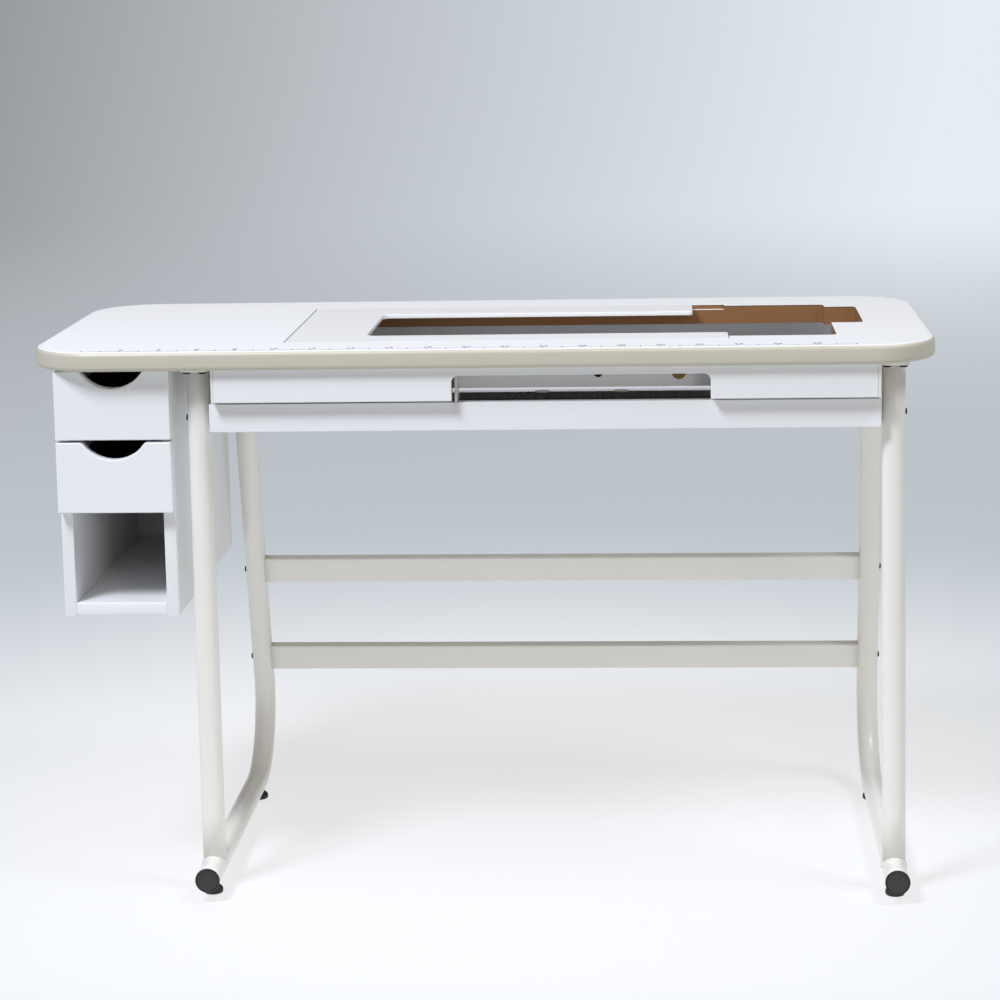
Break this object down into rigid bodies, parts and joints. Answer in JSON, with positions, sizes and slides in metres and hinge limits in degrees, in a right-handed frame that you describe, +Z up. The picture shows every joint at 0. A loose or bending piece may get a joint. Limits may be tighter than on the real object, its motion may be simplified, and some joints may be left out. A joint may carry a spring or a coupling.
{
  "type": "sewing table",
  "caption": "Sewing table: rounded laminate top with a recessed machine opening, lift-out insert and platform, on bent-tube side frames, with a slim hanging drawer unit.",
  "frame": {"origin": "on the floor, at the middle of the whole footprint", "axes": "+X to the right of the person who sits at it, +Y away from them, +Z up"},
  "size_m": [1.2, 0.548, 0.748],
  "materials": {
    "white_laminate_top": "satin white high-pressure laminate on MDF",
    "warm_grey_edging": "satin moulded edging",
    "white_insert_sheet": "satin white sheet",
    "white_frame_paint": "semi-gloss warm white powder coat",
    "black_plastic": "moulded black",
    "dark_steel": "black zinc plate",
    "white_melamine_board": "white melamine-faced board",
    "white_drawer_board": "white painted MDF, eased edges",
    "dark_drawer_board": "dark melamine-faced board",
    "black_rubber": "ribbed non-slip sheet",
    "pale_rubber": "soft pale rubber",
    "cam_brass": "die-cast, brassed",
    "white_cap_plastic": "moulded white"
  },
  "bodies": {
    "table": {"cam_locks": "cam_brass", "cam_trims": "white_cap_plastic", "drawer_runners": "white_melamine_board", "edge_moulding": "warm_grey_edging", "foot_weld_nuts": "white_frame_paint", "front_apron": "white_melamine_board", "knee_notch_guard": "white_melamine_board", "left_apron_bracket": "white_frame_paint", "left_bent_tube": "white_frame_paint", "left_end_cap": "black_plastic", "left_front_leg": "white_frame_paint", "left_top_plate": "white_frame_paint", "lower_stretcher": "white_frame_paint", "machine_rest_pads": "pale_rubber", "platform_board": "white_melamine_board", "platform_bolts": "dark_steel", "platform_cleats": "white_melamine_board", "platform_front_rail": "white_melamine_board", "platform_left_rail": "white_melamine_board", "platform_mats": "black_rubber", "platform_rear_rail": "white_melamine_board", "platform_right_rail": "white_melamine_board", "platform_spacers": "white_frame_paint", "rear_apron": "white_melamine_board", "right_apron_bracket": "white_frame_paint", "right_bent_tube": "white_frame_paint", "right_end_cap": "black_plastic", "right_front_leg": "white_frame_paint", "right_top_plate": "white_frame_paint", "stretcher_bolts": "dark_steel", "stretcher_nut_blocks": "dark_steel", "tabletop": "white_laminate_top", "unit_back_panel": "white_melamine_board", "unit_floor": "white_melamine_board", "unit_left_panel": "white_melamine_board", "unit_middle_shelf": "white_melamine_board", "unit_right_panel": "white_melamine_board", "unit_top_rails": "white_melamine_board", "upper_stretcher": "white_frame_paint", "well_front_board": "white_melamine_board", "wood_screws": "dark_steel"},
    "insert": {"insert_plate": "white_insert_sheet"},
    "upper_drawer": {"upper_drawer_back": "dark_drawer_board", "upper_drawer_floor": "dark_drawer_board", "upper_drawer_front": "white_drawer_board", "upper_drawer_left_side": "dark_drawer_board", "upper_drawer_right_side": "dark_drawer_board"},
    "lower_drawer": {"lower_drawer_back": "dark_drawer_board", "lower_drawer_floor": "dark_drawer_board", "lower_drawer_front": "white_drawer_board", "lower_drawer_left_side": "dark_drawer_board", "lower_drawer_right_side": "dark_drawer_board"},
    "left_front_foot": {"left_front_foot_pad": "black_plastic", "left_front_foot_stud": "dark_steel"},
    "left_rear_foot": {"left_rear_foot_pad": "black_plastic", "left_rear_foot_stud": "dark_steel"},
    "right_front_foot": {"right_front_foot_pad": "black_plastic", "right_front_foot_stud": "dark_steel"},
    "right_rear_foot": {"right_rear_foot_pad": "black_plastic", "right_rear_foot_stud": "dark_steel"}
  },
  "joints": [
    {"name": "insert_lift", "type": "slide", "parent": "table", "child": "insert", "axis": [0, 0, 1], "range_m": [0, 0.06]},
    {"name": "upper_drawer_slide", "type": "slide", "parent": "table", "child": "upper_drawer", "axis": [0, -1, 0], "range_m": [0, 0.3]},
    {"name": "lower_drawer_slide", "type": "slide", "parent": "table", "child": "lower_drawer", "axis": [0, -1, 0], "range_m": [0, 0.3]},
    {"name": "left_front_foot_turn", "type": "hinge", "parent": "table", "child": "left_front_foot", "pos_m": [-0.3765, -0.228, 0], "axis": [0, 0, 1], "continuous": true},
    {"name": "left_rear_foot_turn", "type": "hinge", "parent": "table", "child": "left_rear_foot", "pos_m": [-0.3765, 0.174, 0], "axis": [0, 0, 1], "continuous": true},
    {"name": "right_front_foot_turn", "type": "hinge", "parent": "table", "child": "right_front_foot", "pos_m": [0.543, -0.228, 0], "axis": [0, 0, 1], "continuous": true},
    {"name": "right_rear_foot_turn", "type": "hinge", "parent": "table", "child": "right_rear_foot", "pos_m": [0.543, 0.174, 0], "axis": [0, 0, 1], "continuous": true}
  ]
}
